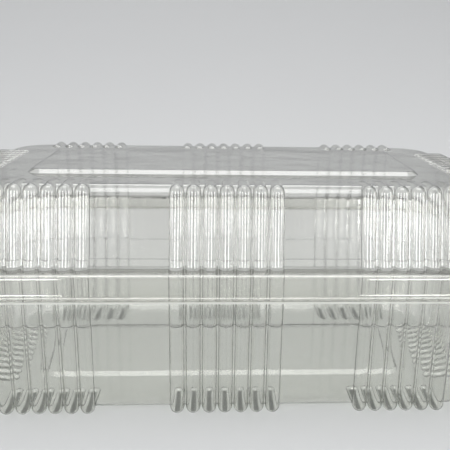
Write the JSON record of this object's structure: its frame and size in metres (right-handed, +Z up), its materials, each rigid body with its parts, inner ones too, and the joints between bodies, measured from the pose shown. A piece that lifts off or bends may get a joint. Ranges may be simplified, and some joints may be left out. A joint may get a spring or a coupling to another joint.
{
  "type": "hinged clear plastic food pack",
  "caption": "Oblong clear plastic pack with a hinged lid: a fluted tray and a fluted lid formed in one sheet, folded shut along a crease and closed by nesting bead rims.",
  "frame": {"origin": "middle of the footprint, on the surface that the pack stands on", "axes": "+X along the long side, +Y from the front wall to the hinge at the rear, +Z up"},
  "size_m": [0.243, 0.149, 0.0886],
  "materials": {
    "clear_sheet": "clear formed PET sheet, glossy"
  },
  "bodies": {
    "base": {"base_tray": "clear_sheet"},
    "lid": {"lid": "clear_sheet"}
  },
  "joints": [
    {"name": "lid_hinge", "type": "hinge", "parent": "base", "child": "lid", "pos_m": [0, 0.0745, 0.0502], "axis": [-1, 0, 0], "range_deg": [0, 180]}
  ]
}
